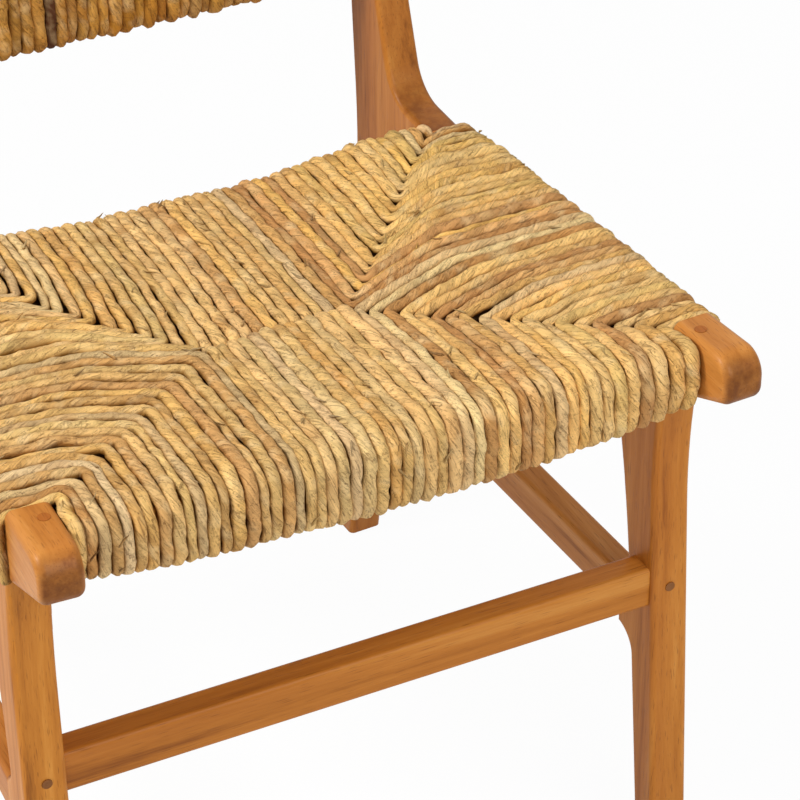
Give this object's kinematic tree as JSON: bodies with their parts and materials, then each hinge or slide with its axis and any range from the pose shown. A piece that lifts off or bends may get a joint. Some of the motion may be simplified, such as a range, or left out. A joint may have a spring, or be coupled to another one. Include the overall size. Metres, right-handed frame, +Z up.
{
  "type": "rope seat dining chair",
  "caption": "Armless dining chair of pegged hardwood with rounded nose ends on the side rails, swept rear posts and a seat and back woven from thick twisted leaf rope.",
  "frame": {"origin": "on the floor, below the middle of the chair's box", "axes": "+X across the chair, to the right of someone who looks at its front; -Y to the front, where the seat's noses point; +Z up"},
  "size_m": [0.5032, 0.5303, 0.805],
  "materials": {
    "frame_wood": "satin",
    "peg_wood": "satin",
    "leaf_rope": "matte"
  },
  "bodies": {
    "root": {"front_leg_left": "frame_wood", "front_leg_right": "frame_wood", "side_rail_left": "frame_wood", "side_rail_right": "frame_wood", "rear_post_left": "frame_wood", "rear_post_right": "frame_wood", "side_stretcher_left": "frame_wood", "side_stretcher_right": "frame_wood", "front_stretcher": "frame_wood", "rear_stretcher": "frame_wood", "front_seat_rail": "frame_wood", "back_seat_rail": "frame_wood", "back_lower_rail": "frame_wood", "back_upper_rail": "frame_wood", "stretcher_pegs": "peg_wood", "rail_pegs": "peg_wood", "seat_weave_front": "leaf_rope", "seat_weave_back": "leaf_rope", "seat_weave_left": "leaf_rope", "seat_weave_right": "leaf_rope", "back_weave": "leaf_rope"}
  },
  "joints": []
}
